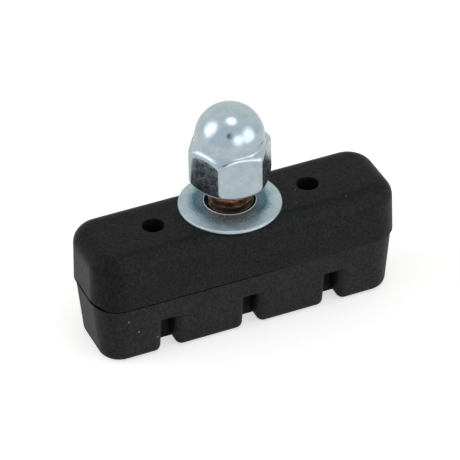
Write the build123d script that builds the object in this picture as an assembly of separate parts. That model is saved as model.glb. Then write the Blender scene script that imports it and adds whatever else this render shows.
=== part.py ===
from build123d import *
import os
from math import cos, pi, radians, tan

# Bicycle rim brake pad: a rubber block moulded round a stud, with a washer and a domed cap nut.
# Millimetres. X runs along the block, Y across it and Z up, away from the wheel rim.
# The origin is the middle of the friction face.

# Brake block: one rubber moulding from a mould in two halves
block_length = 43.1
block_width = 12.7
block_height = 16.5
parting_height = 9.0
parting_step = 0.22
corner_radius = 3.9
back_draft = 1.5
friction_draft = 5.0
back_edge_radius = 2.3
friction_edge_radius = 1.0

# Notches along both long edges of the friction face, with a spine left between them
notch_count = 3
notch_end_margin = 9.8
notch_far_end_margin = 9.9
notch_root_width = 1.75
notch_height = 5.6
notch_draft = 2.0
spine_width = 5.1

# What stands in the block sits a little nearer one end than the other
insert_shift = -0.4

# Holes that the mould's pins leave above the insert plate
pin_hole_diameter = 3.0
pin_hole_spacing = 22.0
pin_hole_depth = 4.5

# Insert plate: a steel strip inside the rubber that the stud pulls on
plate_end_margin = 4.0
plate_width = 7.6
plate_thickness = 1.6

# Stud: M6, headed below the plate; its thread is drawn here at the outside diameter
stud_diameter = 6.0
stud_reach = 11.9
stud_chamfer = 0.7
stud_head_overhang = 1.2
stud_head_thickness = 1.8

# Washer: loose on the stud, and lying a little to one side of its axis
washer_diameter = 13.7
washer_thickness = 0.7
washer_clearance = 0.4
washer_shift = 0.3
washer_chamfer = 0.15

# Cap nut: hexagon, short neck and dome in one piece, run down the stud until the thread is nearly used up
nut_across_flats = 10.0
nut_sides = 6
nut_edge_radius = 0.3
nut_hex_height = 6.2
nut_neck_height = 0.5
nut_dome_inset = 0.4
nut_crown_thickness = 1.3
nut_chamfer_inset = 0.2
nut_chamfer_angle = 39.0
nut_turn = -6.8
nut_thread_clearance = 0.05
nut_countersink = 0.4
drill_point_angle = 118.0
stud_end_clearance = 0.4

# Sizes and heights that follow from the ones above
notch_pitch = (block_length - notch_end_margin - notch_far_end_margin) / (notch_count - 1)
plate_length = pin_hole_spacing + 2 * plate_end_margin
plate_top = block_height - pin_hole_depth
plate_bottom = plate_top - plate_thickness
stud_radius = stud_diameter / 2
stud_bottom = plate_bottom - stud_head_thickness
stud_top = block_height + stud_reach
nut_flat = nut_across_flats / 2
nut_dome_radius = nut_flat - nut_dome_inset
nut_height = nut_hex_height + nut_neck_height + nut_dome_radius
nut_bore_radius = stud_radius + nut_thread_clearance
drill_point_height = nut_bore_radius / tan(radians(drill_point_angle / 2))
nut_thread_depth = nut_height - nut_crown_thickness - drill_point_height
nut_bottom = stud_top + stud_end_clearance - nut_thread_depth
nut_hex_top = nut_bottom + nut_hex_height


def trapezoid(base, inset, height):
    """Outline with its base on the first axis, narrowed at both ends by the inset."""
    return Polygon(
        (-base / 2, 0),
        (base / 2, 0),
        (base / 2 - inset, height),
        (inset - base / 2, height),
        align=None,
    )


def drafted_half(length, width, height, draft, corner):
    """One half of the block, standing on the parting plane and narrower at its top."""
    return extrude(RectangleRounded(length, width, corner), height, taper=draft)


def back_half():
    """The half that the stud stands in, with a rounded top edge."""
    half = drafted_half(block_length, block_width, block_height - parting_height, back_draft, corner_radius)
    half = fillet(half.faces().sort_by(Axis.Z)[-1].edges(), back_edge_radius)
    return Pos(0, 0, parting_height) * half


def notch(x, side):
    """A notch open at one long side and at the friction face, and narrower at its root."""
    inset = notch_height * tan(radians(notch_draft))
    outline = trapezoid(notch_root_width + 2 * inset, inset, notch_height)
    reach = (block_width - spine_width) / 2
    y = side * (spine_width + reach) / 2
    return Pos(x, y, 0) * extrude(Plane.XZ * outline, reach / 2, both=True)


def tooth_edges(half):
    """Edges of the friction face and upright edges of the notches, apart from those along the spine."""
    face_edges = half.faces().sort_by(Axis.Z)[0].edges()
    upright_edges = half.edges().filter_by_position(Axis.Z, 0.45 * notch_height, 0.55 * notch_height)
    spine_side = spine_width / 2
    return [edge for edge in face_edges + upright_edges if abs(abs(edge.center().Y) - spine_side) > 0.01]


def friction_half():
    """The half that meets the rim, a step smaller than the back half, notched and with rounded edges."""
    half = drafted_half(
        block_length - 2 * parting_step,
        block_width - 2 * parting_step,
        parting_height,
        friction_draft,
        corner_radius - parting_step,
    )
    half = Pos(0, 0, parting_height) * mirror(half, about=Plane.XY)
    first = notch_end_margin - block_length / 2
    for place in range(notch_count):
        for side in (-1, 1):
            half -= notch(first + place * notch_pitch, side)
    return fillet(tooth_edges(half), friction_edge_radius)


def pin_holes():
    hole = Cylinder(pin_hole_diameter / 2, pin_hole_depth, align=(Align.CENTER, Align.CENTER, Align.MAX))
    return [Pos(insert_shift + side * pin_hole_spacing / 2, 0, block_height) * hole for side in (-1, 1)]


def make_insert_plate():
    outline = Rectangle(plate_length, plate_width) - Circle(stud_radius)
    return Pos(insert_shift, 0, plate_bottom) * extrude(outline, plate_thickness)


def make_stud():
    """Shank and flat round head, turned about the stud's axis."""
    head_radius = stud_radius + stud_head_overhang
    profile = Polygon(
        (0, stud_bottom),
        (head_radius, stud_bottom),
        (head_radius, plate_bottom),
        (stud_radius, plate_bottom),
        (stud_radius, stud_top - stud_chamfer),
        (stud_radius - stud_chamfer, stud_top),
        (0, stud_top),
        align=None,
    )
    return Pos(insert_shift, 0, 0) * revolve(Plane.XZ * profile, Axis.Z)


def make_brake_block(stud, plate):
    """The rubber is moulded on to the stud and the plate, so it has their shape inside it."""
    block = back_half() + friction_half()
    for hole in pin_holes():
        block -= hole
    return block - stud - plate


def make_washer():
    """Flat ring with its upper rim broken."""
    outline = Circle(washer_diameter / 2) - Circle(stud_radius + washer_clearance)
    washer = Pos(insert_shift, washer_shift, block_height) * extrude(outline, washer_thickness)
    return chamfer(washer.faces().sort_by(Axis.Z)[-1].edges().sort_by(SortBy.RADIUS)[-1], washer_chamfer)


def nut_envelope():
    """Turned form that chamfers the hexagon's corners at top and bottom."""
    corner = nut_flat / cos(pi / nut_sides)
    chamfer_start = nut_flat - nut_chamfer_inset
    drop = (corner - chamfer_start) * tan(radians(nut_chamfer_angle))
    profile = Polygon(
        (0, nut_bottom),
        (chamfer_start, nut_bottom),
        (corner, nut_bottom + drop),
        (corner, nut_hex_top - drop),
        (chamfer_start, nut_hex_top),
        (0, nut_hex_top),
        align=None,
    )
    return revolve(Plane.XZ * profile, Axis.Z)


def nut_bore():
    """Blind tapped hole with a drilled point and a countersunk mouth."""
    thread_end = nut_bottom + nut_thread_depth
    profile = Polygon(
        (0, nut_bottom),
        (nut_bore_radius + nut_countersink, nut_bottom),
        (nut_bore_radius, nut_bottom + nut_countersink),
        (nut_bore_radius, thread_end),
        (0, thread_end + drill_point_height),
        align=None,
    )
    return revolve(Plane.XZ * profile, Axis.Z)


def nut_dome():
    """Half a ball on a short neck of the same radius."""
    neck = Cylinder(nut_dome_radius, nut_neck_height, align=(Align.CENTER, Align.CENTER, Align.MIN))
    ball = Sphere(nut_dome_radius, arc_size1=0, align=(Align.CENTER, Align.CENTER, Align.MIN))
    return Pos(0, 0, nut_hex_top) * (neck + Pos(0, 0, nut_neck_height) * ball)


def make_cap_nut():
    hexagon = RegularPolygon(nut_flat, nut_sides, major_radius=False, rotation=nut_turn)
    hexagon = fillet(hexagon.vertices(), nut_edge_radius)
    body = Pos(0, 0, nut_bottom) * extrude(hexagon, nut_hex_height)
    body &= nut_envelope()
    return Pos(insert_shift, 0, 0) * (body + nut_dome() - nut_bore())


stud_part = make_stud()
plate_part = make_insert_plate()
parts = {
    "brake_block": make_brake_block(stud_part, plate_part),
    "insert_plate": plate_part,
    "stud": stud_part,
    "washer": make_washer(),
    "cap_nut": make_cap_nut(),
}

os.makedirs("parts", exist_ok=True)
for name, shape in parts.items():
    export_step(shape, f"parts/{name}.step")
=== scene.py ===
from math import cos, pi, radians, sin, tan

import bmesh
import bpy
import numpy as np
from mathutils import Matrix, Quaternion, Vector


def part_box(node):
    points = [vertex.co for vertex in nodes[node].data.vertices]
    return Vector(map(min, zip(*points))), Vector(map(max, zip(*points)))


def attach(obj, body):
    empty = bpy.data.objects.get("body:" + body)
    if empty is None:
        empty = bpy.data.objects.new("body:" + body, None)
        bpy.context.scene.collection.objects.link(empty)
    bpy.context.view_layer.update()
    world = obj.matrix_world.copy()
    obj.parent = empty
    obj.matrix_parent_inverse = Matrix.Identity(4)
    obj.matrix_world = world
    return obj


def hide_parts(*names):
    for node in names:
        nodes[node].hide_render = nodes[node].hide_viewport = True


# Bicycle rim brake pad, dressed for a studio photograph.
# Metres, in the part's own frame: X along the block, Y across it, Z up from the friction face.

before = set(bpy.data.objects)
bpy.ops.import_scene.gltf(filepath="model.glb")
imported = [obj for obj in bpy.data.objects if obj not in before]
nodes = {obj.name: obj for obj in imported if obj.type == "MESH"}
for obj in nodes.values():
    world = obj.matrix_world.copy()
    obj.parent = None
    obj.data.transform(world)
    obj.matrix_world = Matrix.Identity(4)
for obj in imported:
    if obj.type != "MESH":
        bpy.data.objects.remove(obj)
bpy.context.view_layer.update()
mm = 0.001

# Camera, placed as the photograph was taken, and the dark lens that stands there
image_pixels = 460
origin_pixel = (235.45, 303.56)
focal_pixels = 3236
sensor_width = 36.0
camera_distance = 432.4 * mm
camera_azimuth = radians(-23.25)
camera_elevation = radians(37.75)
camera_roll = radians(-1.03)
camera_clip = (0.01, 10)
lens_radius = 68 * mm
lens_corners = 32
lens_colour = (0.01, 0.01, 0.01)

# Soft boxes: direction from the part, width and height as the camera sees them, brightness
softbox_distance = 0.9
softbox_aim_height = 18 * mm
softboxes = {
    "left_back": ((-0.84, 0.26, 0.47), (1.14, 0.94), 1.9),
    "overhead": ((0.05, -0.13, 0.99), (0.66, 0.57), 2.5),
    "right_front": ((0.69, -0.68, 0.25), (1.06, 1.07), 1.6),
    "front": ((0.11, -0.95, 0.29), (0.80, 0.76), 1.5),
}

# Where a soft box goes from dark to full strength, in shares of its width from its middle
softbox_fade = (0.5, 0.08)
softbox_middle = (0.5, 0.5, 0.0)

# Studio: brightness and tint of the room, of the white sweep behind the part and of the floor
white = (1.0, 1.0, 1.0)
room_light = 0.32
room_in_mirror = 0.80
room_tint = (0.95, 1.0, 1.05)
sweep_tint = (1.08, 1.12, 1.07)
sweep_direction = (0.39, 0.92, 0.30)
sweep_edge = (0.35, 0.65)
floor_tint = (0.86, 0.86, 0.82)
floor_roughness = 0.9
floor_radius = 3.0
floor_height = -0.02 * mm
floor_glow = 0.6
floor_in_mirror = 0.38

# Meshes: points nearer to each other than this are one point
merge_distance = 0.0001 * mm

# Washer
washer_hole_radius = 3.4 * mm
washer_roll = 0.28 * mm
washer_lip = 0.07 * mm
washer_crown = 0.26 * mm
washer_burr = 0.05 * mm
washer_steps = 256

# Cap nut; a higher power makes sharper corners and edges
nut_flat = 5.0 * mm
nut_hex_height = 6.2 * mm
nut_neck_height = 0.5 * mm
nut_turn = radians(-6.8)
nut_sides = 6
nut_side_steps = 48
nut_side_crowding = 0.55
nut_corner_power = 20
nut_edge_power = 26
nut_chamfer_start = 4.8 * mm
nut_chamfer_angle = radians(39)
nut_chamfer_heights = (0.01 * mm, 1.2 * mm)
nut_middle_margin = 1.4 * mm
nut_underside_start = 3.7 * mm
nut_underside_margin = 0.1 * mm
nut_bore_radius = 3.05 * mm
nut_countersink = 0.4 * mm
nut_crown = 1.3 * mm
nut_drill_angle = radians(118)
nut_skirt = (0.2 * mm, 0.9 * mm)

# Stud; the thread's crest and flank are shares of half its pitch
stud_radius = 3.0 * mm
stud_head_height = 1.8 * mm
stud_head_chamfer = 0.3 * mm
stud_chamfer = 0.7 * mm
stud_steps = 96
thread_pitch = 1.0 * mm
thread_depth = 0.61 * mm
thread_start = 14.0 * mm
thread_step = 0.05 * mm
thread_crest = 0.125
thread_flank = 0.625

# Noise: its middle value, and two between which most of its values lie
noise_middle = 0.5
noise_ends = (0.3, 0.7)

# Rubber: colours of the block's two halves, with painted light on the long sides and a painted highlight on
# the left end
parting_height = 9.0 * mm
parting_blend = 0.08 * mm
rubber_plain = (0.0120, 0.0120, 0.0118)
rubber_side_painted_light = (0.0200, 0.0200, 0.0196)
rubber_end_painted_highlight = (0.0500, 0.0500, 0.0470)
rubber_lower_plain = (0.0200, 0.0200, 0.0196)
rubber_lower_side_painted_light = (0.0300, 0.0300, 0.0293)

# Rubber: where the painted light comes in: the long sides painted lighter than the top, and a painted
# highlight on the left end
left_end = -20 * mm
side_light_across = (4.2 * mm, 5.3 * mm)
side_light_along = 3.5 * mm
end_highlight_across = (3.1 * mm, 2.3 * mm)
end_highlight_top = (15.4 * mm, 13.4 * mm)

# Rubber: texture, gloss and relief
rubber_cloud_size = 3.0 * mm
rubber_cloud_shade = (0.87, 1.13)
rubber_cloud_depth = 0.05 * mm
rubber_mottle_size = 0.42 * mm
rubber_mottle_shade = (0.65, 1.35)
rubber_grain_size = 0.17 * mm
rubber_grain_shade = (0.7, 1.3)
rubber_grain_depth = 0.018 * mm
rubber_roughness = (0.40, 0.54)
rubber_specular = (0.3, 0.7)
rubber_ior = 1.19
rubber_edge = 0.2 * mm
rubber_edge_samples = 6

# Painted shadow line under the step at the parting: lower on the long sides than on the left end, and
# fainter towards the right
seam_shadow_colour = (0.003, 0.003, 0.003)
seam_height = 8.76 * mm
seam_half_width = 0.14 * mm
seam_end_height = 9.02 * mm
seam_end_half_width = 0.5 * mm
seam_core = 0.4
seam_turn = 1 * mm
seam_wobble = 0.16 * mm
seam_wobble_size = 1.6 * mm
seam_fade = (9 * mm, -1 * mm)
seam_faint = 0.15
seam_nick = (-6.75 * mm, -6.11 * mm, 8.79 * mm)
seam_nick_radius = 0.34 * mm

# Dust and chalk on the rubber
dust_colour = (0.16, 0.16, 0.15)
dust_spacing = 0.9 * mm
dust_radius = 0.08 * mm
dust_strength = 0.4
chalk_colour = (0.30, 0.27, 0.24)
chalk_spacing = 2.6 * mm
chalk_radius = 0.13 * mm
chalk_strength = 0.7
chalk_mark_radius = 0.2 * mm
chalk_marks = (
    (-17.57 * mm, -5.94 * mm, 6.81 * mm),
    (-16.17 * mm, -5.75 * mm, 4.65 * mm),
    (-13.48 * mm, -5.59 * mm, 2.81 * mm),
)
speck_core = 0.3
spot_core = 0.5

# Zinc plating: bright, with a film that is duller and rougher
zinc_cloud_size = 1.6 * mm
zinc_colours = ((0.42, 0.495, 0.55), (0.535, 0.625, 0.665))
zinc_grain_size = 0.14 * mm
zinc_grain_colour = (0.40, 0.47, 0.52)
zinc_grain_share = 0.25
zinc_grain_depth = 0.003 * mm
zinc_film_size = 0.7 * mm
zinc_film_ends = (0.40, 0.64)
zinc_metallic = (0.98, 0.84)
zinc_swell_size = 1.8 * mm
zinc_swell_depth = 0.012 * mm
washer_roughness = (0.48, 0.56)
nut_roughness = (0.15, 0.26)

# Ring round the washer's hole, tinted from the lip outwards: bluish, partly tarnish and partly painted
# shade and dark reflection of the nut above, and pink on the front side, a painted reflection of the copper
# stud
ring_reach = (3.55 * mm, 6.5 * mm)
ring_lip_blend = 0.1 * mm
ring_wander = 1.2 * mm
blue_tarnish_and_painted_shade = (
    (0.0, (0.34, 0.40, 0.44)),
    (0.12, (0.26, 0.36, 0.41)),
    (0.32, (0.20, 0.32, 0.39)),
    (0.55, (0.52, 0.64, 0.69)),
    (0.75, (0.86, 0.92, 0.94)),
    (0.95, white),
)
pink_painted_reflection = (
    (0.0, (1.0, 0.80, 0.82)),
    (0.20, (0.88, 0.72, 0.73)),
    (0.42, (0.62, 0.75, 0.75)),
    (0.72, (0.78, 0.90, 0.87)),
    (0.95, white),
)
pink_reflection_side = (-0.39, -0.92, 0.0)
pink_reflection_edge = (0.5, 0.9)
speckle_size = 0.3 * mm
speckle_ends = (0.35, 0.65)
speckle_shade = (0.65, 1.35)
speckle_fade = (1.0, 0.5)

# Copper plating: painted shade at the foot of the thread, down in the washer's hole, and unshaded above
copper_cloud_size = 0.9 * mm
copper_cloud_ends = (0.35, 0.68)
copper_unshaded = ((0.120, 0.080, 0.050), (0.58, 0.260, 0.165))
copper_shaded_foot = ((0.030, 0.025, 0.014), (0.100, 0.070, 0.040))
copper_shade_heights = (17.6 * mm, 19.6 * mm)
copper_shade_wander = 1.5 * mm
copper_roughness = (0.55, 0.42)

# Bare steel
steel_cloud_size = 1.2 * mm
steel_shade = (0.28, 0.42)
steel_roughness = (0.35, 0.50)


def heights_of(node):
    """Lowest and highest height of a node."""
    low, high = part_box(node)
    return low.z, high.z


def half_width_of(node):
    """Half a node's width along X."""
    low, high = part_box(node)
    return (high.x - low.x) / 2


def middle_of(node):
    """Middle of a node seen from above."""
    low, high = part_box(node)
    return Vector(((low.x + high.x) / 2, (low.y + high.y) / 2, 0))


def arc(centre, radius, start, end, count):
    """Points (radius, height) along an arc in a turned piece's profile, angles in degrees."""
    angles = np.radians(np.linspace(start, end, count))
    return [(centre[0] + radius * cos(a), centre[1] + radius * sin(a)) for a in angles]


def round_angles(count):
    """Angles all round, evenly spaced."""
    return np.linspace(0, 2 * pi, count, endpoint=False)


def circle(radius, height, angles):
    """A ring of points round the Z axis; the radius may be one number or one for each angle."""
    return np.column_stack((radius * np.cos(angles), radius * np.sin(angles), np.full(len(angles), height)))


def skin(name, rings, middle, closed=False):
    """A smooth mesh through rings of points about a middle; closed joins the last ring to the first."""
    rows = np.array(rings) + np.array(middle)
    count, around = rows.shape[:2]
    faces = []
    for row in range(count if closed else count - 1):
        here = row * around
        there = (row + 1) % count * around
        for step in range(around):
            ahead = (step + 1) % around
            faces.append((here + step, here + ahead, there + ahead, there + step))
    mesh = bpy.data.meshes.new(name)
    mesh.from_pydata(rows.reshape(-1, 3).tolist(), [], faces)
    shaped = bmesh.new()
    shaped.from_mesh(mesh)
    bmesh.ops.remove_doubles(shaped, verts=shaped.verts, dist=merge_distance)
    shaped.to_mesh(mesh)
    shaped.free()
    mesh.polygons.foreach_set("use_smooth", [True] * len(mesh.polygons))
    piece = bpy.data.objects.new(name, mesh)
    bpy.context.scene.collection.objects.link(piece)
    return piece


def dress(piece, node, material):
    """Puts a finished piece in the place of a CAD node."""
    piece.data.materials.append(material)
    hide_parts(node)
    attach(piece, "root")


def make_washer():
    """A punched washer: slightly crowned, with a rolled rim, a raised lip round the hole and fine burrs."""
    low, high = heights_of("washer")
    outer = half_width_of("washer")
    inner = washer_hole_radius
    flat = high - washer_lip
    rim = flat - washer_crown
    fall = np.degrees(np.arctan2(2 * washer_crown, outer - inner))
    lip_foot = inner + 3 * washer_lip
    reach = outer - washer_roll - lip_foot
    profile = [(inner + washer_burr, low), (outer - washer_burr, low)]
    profile += arc((outer - washer_burr, low + washer_burr), washer_burr, -60, 0, count=4)
    profile += arc((outer - washer_roll, rim - washer_roll), washer_roll, 0, 90 - fall, count=14)
    for share in np.linspace(1, 0, num=20)[1:]:
        profile.append((lip_foot + share * reach, flat - washer_crown * share**2))
    profile += arc((inner + 2 * washer_lip, flat + washer_lip), washer_lip, 270, 200, count=5)
    profile += arc((inner + washer_lip / 2, high - washer_lip / 2), washer_lip / 2, 30, 180, count=8)
    profile += arc((inner + washer_burr, low + washer_burr), washer_burr, 180, 240, count=4)
    angles = round_angles(washer_steps)
    rings = [circle(r, z, angles) for r, z in profile]
    return skin("washer_plated", rings, middle_of("washer"), closed=True)


def nut_radius(angles):
    """Radius of the hexagon with softly rounded corners."""
    flats = nut_turn + pi / 2 + np.arange(nut_sides) * 2 * pi / nut_sides
    facing = np.maximum(np.cos(angles[:, None] - flats), 0)
    return nut_flat * (facing**nut_corner_power).sum(1) ** (-1 / nut_corner_power)


def nut_angles():
    """Angles round the nut, closer together near the hexagon's corners."""
    share = np.linspace(-1, 1, nut_side_steps, endpoint=False)
    spread = (1 - nut_side_crowding) * share + nut_side_crowding * np.sin(share * pi / 2)
    first = nut_turn + pi / 2
    sides = [first + (side + spread / 2) * 2 * pi / nut_sides for side in range(nut_sides)]
    return np.concatenate(sides)


def bore_profile(bottom, top):
    """The blind bore from its drilled point to its countersunk mouth, and the nut's underside round it."""
    bore_end = top - nut_crown
    drill_height = nut_bore_radius / tan(nut_drill_angle / 2)
    bore = [
        (0, bore_end),
        (nut_bore_radius, bore_end - drill_height),
        (nut_bore_radius, bottom + nut_countersink),
        (nut_bore_radius + nut_countersink, bottom),
    ]
    underside = np.linspace(nut_underside_start, nut_chamfer_start - nut_underside_margin, num=6)
    return bore + [(radius, bottom) for radius in underside]


def hexagon_rings(bottom, top, angles):
    """Rings up the hexagon, chamfered at both ends and softly rounded at its edges."""
    side = nut_radius(angles)
    slope = tan(nut_chamfer_angle)
    chamfered = np.linspace(*nut_chamfer_heights, num=40)
    middle = np.linspace(bottom + nut_middle_margin, top - nut_middle_margin, num=10)
    rings = []
    for z in np.concatenate((bottom + chamfered, middle, top - chamfered[::-1])):
        upper = nut_chamfer_start + (top - z) / slope
        lower = nut_chamfer_start + (z - bottom) / slope
        rounded = sum(limit**-nut_edge_power for limit in (side, upper, lower))
        rings.append(circle(rounded ** (-1 / nut_edge_power), z, angles))
    return rings


def dome_profile(base, top):
    """A small flared skirt on the hexagon, and the dome above it."""
    dome_base = base + nut_neck_height
    dome = top - dome_base
    flare, rise = nut_skirt
    flared = arc((1, 1), 1, 270, 180, count=12)
    skirt = [(dome + flare * across, base + rise * along) for across, along in flared]
    start = np.degrees(np.arcsin((rise - nut_neck_height) / dome))
    return skirt + arc((0, dome_base), dome, start, 90, count=46)[1:]


def make_cap_nut():
    """Hexagon, chamfers, neck and dome in one skin, with the blind bore inside."""
    bottom, top = heights_of("cap_nut")
    hex_top = bottom + nut_hex_height
    angles = nut_angles()
    rings = [circle(r, z, angles) for r, z in bore_profile(bottom, top)]
    rings += hexagon_rings(bottom, hex_top, angles)
    rings += [circle(r, z, angles) for r, z in dome_profile(hex_top, top)]
    return skin("cap_nut_plated", rings, middle_of("cap_nut"))


def thread_radius(angles, height):
    """Radius of the thread at a height, fading in where the thread starts."""
    turns = (height - thread_start) / thread_pitch
    phase = (turns - angles / (2 * pi)) % 1
    from_crest = np.abs(2 * phase - 1)
    cut = np.clip((from_crest - thread_crest) / thread_flank, 0, 1)
    fade = min(max(turns, 0), 1)
    return stud_radius - thread_depth * fade * cut


def make_stud():
    """Headed stud with a rolled thread."""
    low, high = heights_of("stud")
    head = half_width_of("stud")
    head_top = low + stud_head_height
    angles = round_angles(stud_steps)
    plain = [
        (0, low),
        (head - stud_head_chamfer, low),
        (head, low + stud_head_chamfer),
        (head, head_top),
        (stud_radius, head_top),
        (stud_radius, thread_start),
    ]
    rings = [circle(r, z, angles) for r, z in plain]
    for z in np.arange(thread_start + thread_step, high, thread_step):
        limit = stud_radius - max(z - (high - stud_chamfer), 0)
        rings.append(circle(np.minimum(thread_radius(angles, z), limit), z, angles))
    rings.append(circle(stud_radius - stud_chamfer, high, angles))
    rings.append(circle(0, high, angles))
    return skin("stud_threaded", rings, middle_of("stud"))


def set_inputs(tree, shader, inputs):
    """Sets a shader node's inputs: each to a value, or to what comes from a socket."""
    for name, value in inputs.items():
        if isinstance(value, bpy.types.NodeSocket):
            tree.links.new(value, shader.inputs[name])
        else:
            shader.inputs[name].default_value = value


def add_node(tree, kind, inputs=None, **settings):
    """Adds a shader node with these settings and inputs."""
    made = tree.nodes.new(kind)
    for name, value in settings.items():
        setattr(made, name, value)
    set_inputs(tree, made, inputs or {})
    return made


def new_material(name):
    """A material with a plain Principled shader; returns it, its tree and the shader."""
    material = bpy.data.materials.new(name)
    material.use_nodes = True
    tree = material.node_tree
    return material, tree, tree.nodes["Principled BSDF"]


def place_on(tree):
    """Place on the piece, in the part's frame."""
    return add_node(tree, "ShaderNodeTexCoord").outputs["Object"]


def axes_of(tree, place):
    """The place's X, Y and Z, by name."""
    return add_node(tree, "ShaderNodeSeparateXYZ", {"Vector": place}).outputs


def opaque(colour):
    """A colour as a shader's input takes it; a socket stays as it is."""
    return (*colour, 1) if isinstance(colour, tuple) else colour


def noise(tree, place, size, detail=3.0, roughness=0.55):
    """Cloudy noise whose blotches are about this size."""
    inputs = {"Vector": place, "Scale": 1 / size, "Detail": detail, "Roughness": roughness}
    return add_node(tree, "ShaderNodeTexNoise", inputs).outputs["Fac"]


def ramp(tree, factor, stops):
    """Colour or value by factor, through the given stops."""
    made = add_node(tree, "ShaderNodeValToRGB", {"Fac": factor})
    elements = made.color_ramp.elements
    for index, (position, colour) in enumerate(stops):
        element = elements[index] if index < 2 else elements.new(position)
        element.position = position
        element.color = opaque(colour if isinstance(colour, tuple) else (colour, colour, colour))
    return made.outputs["Color"]


def vary(tree, factor, values, ends=noise_ends):
    """Goes from the first of two values or colours to the second as the noise goes from end to end."""
    return ramp(tree, factor, tuple(zip(ends, values)))


def value_math(tree, operation, first, second=0.0):
    """Works out a value from one or two others."""
    return add_node(tree, "ShaderNodeMath", {0: first, 1: second}, operation=operation).outputs["Value"]


def vector_math(tree, operation, first, second):
    """Works out a vector or a value from two vectors; returns the outputs for both."""
    return add_node(tree, "ShaderNodeVectorMath", {0: first, 1: second}, operation=operation).outputs


def product(tree, first, *others):
    """Multiplies values."""
    for other in others:
        first = value_math(tree, "MULTIPLY", first, other)
    return first


def wandering(tree, value, factor, reach):
    """A value that strays up and down with the noise, by half the reach at most."""
    stray = product(tree, value_math(tree, "SUBTRACT", factor, noise_middle), reach)
    return value_math(tree, "ADD", value, stray)


def span(tree, value, start, end, low=0.0, high=1.0):
    """Goes smoothly from low at the start to high at the end, and stays there."""
    inputs = {"Value": value, "From Min": start, "From Max": end, "To Min": low, "To Max": high}
    return add_node(tree, "ShaderNodeMapRange", inputs, interpolation_type="SMOOTHSTEP").outputs["Result"]


def mix(tree, factor, first, second, blend="MIX"):
    """Mixes two colours; the node's inputs 0, 6 and 7 and output 2 are the ones for colours."""
    inputs = {0: factor, 6: opaque(first), 7: opaque(second)}
    return add_node(tree, "ShaderNodeMix", inputs, data_type="RGBA", blend_type=blend).outputs[2]


def shade(tree, base, factor, values, ends=noise_ends, share=1.0):
    """Darkens and lightens a colour with the noise."""
    return mix(tree, share, base, vary(tree, factor, values, ends), blend="MULTIPLY")


def bump(tree, height, depth, normal=None):
    """Relief of this depth, on top of another relief if one is given."""
    inputs = {"Height": height, "Distance": depth, "Strength": 1.0}
    if normal is not None:
        inputs["Normal"] = normal
    return add_node(tree, "ShaderNodeBump", inputs).outputs["Normal"]


def specks(tree, place, spacing, radius):
    """Sparse dots, at most one for each cell of the spacing, that fade out towards the radius."""
    inputs = {"Vector": place, "Scale": 1 / spacing, "Randomness": 1.0}
    distance = add_node(tree, "ShaderNodeTexVoronoi", inputs).outputs["Distance"]
    reach = radius / spacing
    return span(tree, distance, reach, speck_core * reach)


def spot(tree, place, centre, radius):
    """One soft dot on the piece."""
    distance = vector_math(tree, "DISTANCE", place, centre)["Value"]
    return span(tree, distance, radius, spot_core * radius)


def seam_shadow_mask(tree, place, where):
    """The painted shadow line under the step where the mould's halves met: it wanders, fades along the
    block and has one nick.
    """
    turn = (left_end, left_end - seam_turn)
    height = wandering(tree, where["Z"], noise(tree, place, seam_wobble_size, detail=4.0), seam_wobble)
    middle = span(tree, where["X"], *turn, seam_height, seam_end_height)
    half_width = span(tree, where["X"], *turn, seam_half_width, seam_end_half_width)
    away = value_math(tree, "ABSOLUTE", value_math(tree, "SUBTRACT", height, middle))
    line = span(tree, value_math(tree, "DIVIDE", away, half_width), 1.0, seam_core)
    line = product(tree, line, span(tree, where["X"], *seam_fade, seam_faint, 1.0))
    return value_math(tree, "MAXIMUM", line, spot(tree, place, seam_nick, seam_nick_radius))


def painted_light_masks(tree, where):
    """Where light is painted: the long sides lighter than the top, and a painted highlight on the left end.
    """
    across = value_math(tree, "ABSOLUTE", where["Y"])
    from_left = span(tree, where["X"], left_end, left_end + side_light_along)
    long_side = product(tree, span(tree, across, *side_light_across), from_left)
    on_end = value_math(tree, "LESS_THAN", where["X"], left_end)
    below_top = span(tree, where["Z"], *end_highlight_top)
    end_face = product(tree, on_end, span(tree, across, *end_highlight_across), below_top)
    return long_side, end_face


def rubber_colour(tree, where):
    """Colour of the block's upper and lower half, with painted light on the long sides and a painted
    highlight on the left end.
    """
    long_side, end_face = painted_light_masks(tree, where)
    # Painted light: the long sides lighter than the top, and a painted highlight on the left end
    upper = mix(tree, long_side, rubber_plain, rubber_side_painted_light)
    upper = mix(tree, end_face, upper, rubber_end_painted_highlight)
    pale = value_math(tree, "MAXIMUM", long_side, end_face)
    lower = mix(tree, pale, rubber_lower_plain, rubber_lower_side_painted_light)
    below = span(tree, where["Z"], parting_height, parting_height - parting_blend)
    return mix(tree, below, upper, lower)


def chalk_mask(tree, place):
    """Chalk specks all over, and a few single marks."""
    chalk = specks(tree, place, chalk_spacing, chalk_radius)
    for mark in chalk_marks:
        chalk = value_math(tree, "MAXIMUM", chalk, spot(tree, place, mark, chalk_mark_radius))
    return product(tree, chalk, chalk_strength)


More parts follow.
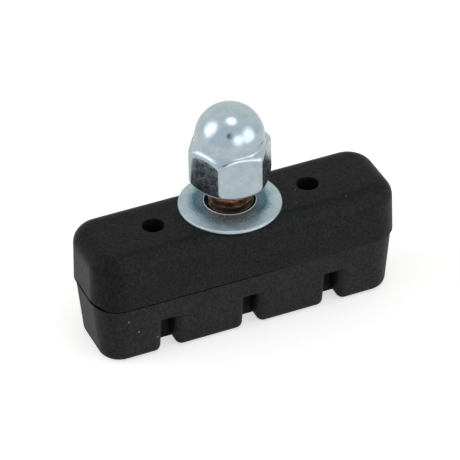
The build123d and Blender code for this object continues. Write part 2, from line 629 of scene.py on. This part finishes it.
def make_rubber():
    """Moulded rubber: grainy and mottled, with dust and chalk on it and a painted shadow line under the
    parting step.
    """
    material, tree, shader = new_material("moulded_rubber")
    place = place_on(tree)
    where = axes_of(tree, place)
    cloud = noise(tree, place, rubber_cloud_size)
    mottle = noise(tree, place, rubber_mottle_size, detail=4.0, roughness=0.7)
    grain = noise(tree, place, rubber_grain_size, detail=2.0)
    seam_shadow = seam_shadow_mask(tree, place, where)
    dust = product(tree, specks(tree, place, dust_spacing, dust_radius), dust_strength)

    base = rubber_colour(tree, where)
    base = shade(tree, base, cloud, rubber_cloud_shade)
    base = shade(tree, base, grain, rubber_grain_shade)
    base = shade(tree, base, mottle, rubber_mottle_shade)
    base = mix(tree, dust, base, dust_colour)
    base = mix(tree, chalk_mask(tree, place), base, chalk_colour)
    # Painted shadow under the parting step: it darkens the colour and takes the sheen away along the line
    base = mix(tree, seam_shadow, base, seam_shadow_colour)
    beside_seam_shadow = span(tree, seam_shadow, 1.0, 0.0)
    soft_edges = add_node(tree, "ShaderNodeBevel", {"Radius": rubber_edge}, samples=rubber_edge_samples)
    relief = bump(tree, cloud, rubber_cloud_depth, soft_edges.outputs["Normal"])
    set_inputs(tree, shader, {
        "Base Color": base,
        "Roughness": vary(tree, grain, rubber_roughness),
        "Specular IOR Level": product(tree, vary(tree, mottle, rubber_specular), beside_seam_shadow),
        "Normal": bump(tree, grain, rubber_grain_depth, relief),
        "IOR": rubber_ior,
    })
    return material


def ring_round_hole(tree, base, place, cloud, middle):
    """Plating with a speckled ring round a hole, outside the hole's bright lip: partly tarnish and partly
    painted shade and reflection of the nut, with a painted pink reflection of the stud on one side.
    """
    start, end = ring_reach
    flat = vector_math(tree, "MULTIPLY", place, (1, 1, 0))["Vector"]
    outward = vector_math(tree, "SUBTRACT", flat, middle)["Vector"]
    radius = vector_math(tree, "DISTANCE", flat, middle)["Value"]
    # Painted reflection of the copper stud: pink on the front side of the hole
    along = vector_math(tree, "DOT_PRODUCT", outward, pink_reflection_side)["Value"]
    pink = span(tree, value_math(tree, "DIVIDE", along, radius), *pink_reflection_edge)
    reach = span(tree, wandering(tree, radius, cloud, ring_wander), start, end)
    # The bluish ring is partly tarnish and partly painted shade and dark reflection of the nut above
    tint = mix(tree, pink, ramp(tree, reach, blue_tarnish_and_painted_shade), ramp(tree, reach, pink_painted_reflection))
    speckle = noise(tree, place, speckle_size, roughness=0.8)
    tint = shade(tree, tint, speckle, speckle_shade, speckle_ends, share=span(tree, reach, *speckle_fade))
    beyond_lip = span(tree, radius, start - ring_lip_blend, start)
    return mix(tree, beyond_lip, base, tint, blend="MULTIPLY")


def make_zinc(name, roughness, hole=None):
    """Zinc plating with a dull film, and with a ring of tarnish and painted shade and reflection round a
    hole if one is given.
    """
    material, tree, shader = new_material(name)
    place = place_on(tree)
    cloud = noise(tree, place, zinc_cloud_size, detail=5.0, roughness=0.65)
    grain = noise(tree, place, zinc_grain_size, detail=2.0)
    film = noise(tree, place, zinc_film_size, detail=5.0, roughness=0.7)
    swell = noise(tree, place, zinc_swell_size, detail=1.0)
    base = vary(tree, cloud, zinc_colours)
    base = mix(tree, product(tree, grain, zinc_grain_share), base, zinc_grain_colour)
    if hole is not None:
        base = ring_round_hole(tree, base, place, cloud, hole)
    relief = bump(tree, swell, zinc_swell_depth)
    set_inputs(tree, shader, {
        "Base Color": base,
        "Roughness": vary(tree, film, roughness, zinc_film_ends),
        "Metallic": vary(tree, film, zinc_metallic, zinc_film_ends),
        "Normal": bump(tree, grain, zinc_grain_depth, relief),
    })
    return material


def make_copper():
    """Copper plating, with painted shade at the foot of the thread."""
    material, tree, shader = new_material("copper_plating")
    place = place_on(tree)
    cloud = noise(tree, place, copper_cloud_size)
    unshaded = vary(tree, cloud, copper_unshaded, copper_cloud_ends)
    # Painted shade: darker towards the foot of the thread, down in the washer's hole
    shaded_foot = vary(tree, cloud, copper_shaded_foot, copper_cloud_ends)
    height = wandering(tree, axes_of(tree, place)["Z"], cloud, copper_shade_wander)
    set_inputs(tree, shader, {
        "Base Color": mix(tree, span(tree, height, *copper_shade_heights), shaded_foot, unshaded),
        "Roughness": vary(tree, cloud, copper_roughness),
        "Metallic": 1.0,
    })
    return material


def make_steel():
    """Bare steel, slightly cloudy."""
    material, tree, shader = new_material("bare_steel")
    cloud = noise(tree, place_on(tree), steel_cloud_size)
    set_inputs(tree, shader, {
        "Base Color": vary(tree, cloud, steel_shade),
        "Roughness": vary(tree, cloud, steel_roughness),
        "Metallic": 1.0,
    })
    return material


def ray_kinds(tree):
    """Two marks: 1 for a ray that mirrors, and 1 for a ray that shows the background itself."""
    rays = add_node(tree, "ShaderNodeLightPath").outputs
    seen = value_math(tree, "MAXIMUM", rays["Is Camera Ray"], rays["Is Transmission Ray"])
    return rays["Is Glossy Ray"], seen


def flat_mesh(name, points, material):
    """A staged sheet with one face."""
    mesh = bpy.data.meshes.new(name)
    mesh.from_pydata(points, [], [tuple(range(len(points)))])
    mesh.materials.append(material)
    sheet = bpy.data.objects.new(name, mesh)
    bpy.context.scene.collection.objects.link(sheet)
    return sheet


def add_floor():
    """A white floor that keeps the part's shadow."""
    material, tree, shader = new_material("white_sweep")
    mirrored, seen = ray_kinds(tree)
    in_mirror = product(tree, mirrored, floor_in_mirror)
    glow = value_math(tree, "MAXIMUM", product(tree, seen, floor_glow), in_mirror)
    set_inputs(tree, shader, {
        "Base Color": opaque(floor_tint),
        "Roughness": floor_roughness,
        "Specular IOR Level": 0.0,
        "Emission Color": opaque(white),
        "Emission Strength": glow,
    })
    corners = [(-1, -1), (1, -1), (1, 1), (-1, 1)]
    flat_mesh("floor", [(x * floor_radius, y * floor_radius, floor_height) for x, y in corners], material)


def add_world():
    """A pale room with a white sweep behind the part: white where it is seen, and dimmer as light."""
    world = bpy.data.worlds.new("studio")
    bpy.context.scene.world = world
    world.use_nodes = True
    tree = world.node_tree
    mirrored, seen = ray_kinds(tree)
    strength = value_math(tree, "MAXIMUM", product(tree, mirrored, room_in_mirror), room_light)
    outward = add_node(tree, "ShaderNodeTexCoord").outputs["Generated"]
    toward = vector_math(tree, "DOT_PRODUCT", outward, Vector(sweep_direction).normalized())["Value"]
    around = mix(tree, span(tree, toward, *sweep_edge), room_tint, sweep_tint)
    set_inputs(tree, tree.nodes["Background"], {
        "Strength": value_math(tree, "MAXIMUM", strength, seen),
        "Color": mix(tree, seen, around, white),
    })


def camera_axes():
    """Direction from the part to the camera, and the picture's right and up."""
    level = cos(camera_elevation)
    back = Vector((sin(camera_azimuth) * level, -cos(camera_azimuth) * level, sin(camera_elevation)))
    right = Vector((cos(camera_azimuth), sin(camera_azimuth), 0))
    right.rotate(Quaternion(back, camera_roll))
    return back, right, back.cross(right)


def fade_out(lamp):
    """Makes a lamp brightest at its middle and dark at its edge, as a diffuser is."""
    lamp.use_nodes = True
    tree = lamp.node_tree
    across = add_node(tree, "ShaderNodeNewGeometry").outputs["Parametric"]
    distance = vector_math(tree, "DISTANCE", across, softbox_middle)["Value"]
    set_inputs(tree, tree.nodes["Emission"], {"Strength": span(tree, distance, *softbox_fade)})


def add_softbox(name, direction, size, brightness):
    """A lamp that faces the part, with its width along the picture's right."""
    lamp = bpy.data.lights.new(name, "AREA")
    lamp.shape = "RECTANGLE"
    lamp.size, lamp.size_y = size
    lamp.energy = brightness * pi * size[0] * size[1]
    fade_out(lamp)
    light = bpy.data.objects.new(name, lamp)
    toward = Vector(direction).normalized()
    light.location = toward * softbox_distance + Vector((0, 0, softbox_aim_height))
    right = camera_axes()[1]
    side = (right - toward * right.dot(toward)).normalized()
    turn = Matrix((side, toward.cross(side), toward)).transposed()
    light.rotation_mode = "QUATERNION"
    light.rotation_quaternion = turn.to_quaternion()
    light.visible_camera = False
    bpy.context.scene.collection.objects.link(light)


def add_camera():
    """Camera at the photograph's angle, aimed so that the part's origin falls on its own pixel."""
    back, right, up = camera_axes()
    pixels_per_metre = focal_pixels / camera_distance
    middle = image_pixels / 2
    aim = right * (middle - origin_pixel[0]) + up * (origin_pixel[1] - middle)
    aim /= pixels_per_metre
    away = (back * camera_distance - aim).normalized()
    side = up.cross(away).normalized()
    turn = Matrix((side, away.cross(side), away)).transposed().to_4x4()
    optics = bpy.data.cameras.new("camera")
    optics.sensor_width = sensor_width
    optics.lens = focal_pixels * sensor_width / image_pixels
    optics.clip_start, optics.clip_end = camera_clip
    camera = bpy.data.objects.new("camera", optics)
    camera.matrix_world = Matrix.Translation(back * camera_distance) @ turn
    bpy.context.scene.collection.objects.link(camera)
    bpy.context.scene.camera = camera


def add_lens():
    """A dark lens at the camera's place, which the dome mirrors."""
    material, tree, shader = new_material("lens_black")
    set_inputs(tree, shader, {"Base Color": opaque(lens_colour)})
    back, right, up = camera_axes()
    middle = back * camera_distance
    turns = round_angles(lens_corners)
    points = [middle + lens_radius * (right * cos(a) + up * sin(a)) for a in turns]
    sheet = flat_mesh("lens", [tuple(point) for point in points], material)
    sheet.visible_camera = False
    sheet.visible_shadow = False


washer_zinc = make_zinc("zinc_washer", washer_roughness, hole=middle_of("washer"))
nut_zinc = make_zinc("zinc_nut", nut_roughness)
dress(make_washer(), "washer", washer_zinc)
dress(make_cap_nut(), "cap_nut", nut_zinc)
dress(make_stud(), "stud", make_copper())
nodes["brake_block"].data.materials[0] = make_rubber()
nodes["insert_plate"].data.materials[0] = make_steel()

add_camera()
add_lens()
add_floor()
add_world()
for name, (direction, size, brightness) in softboxes.items():
    add_softbox(name, direction, size, brightness)
bpy.context.scene.view_settings.view_transform = "Standard"
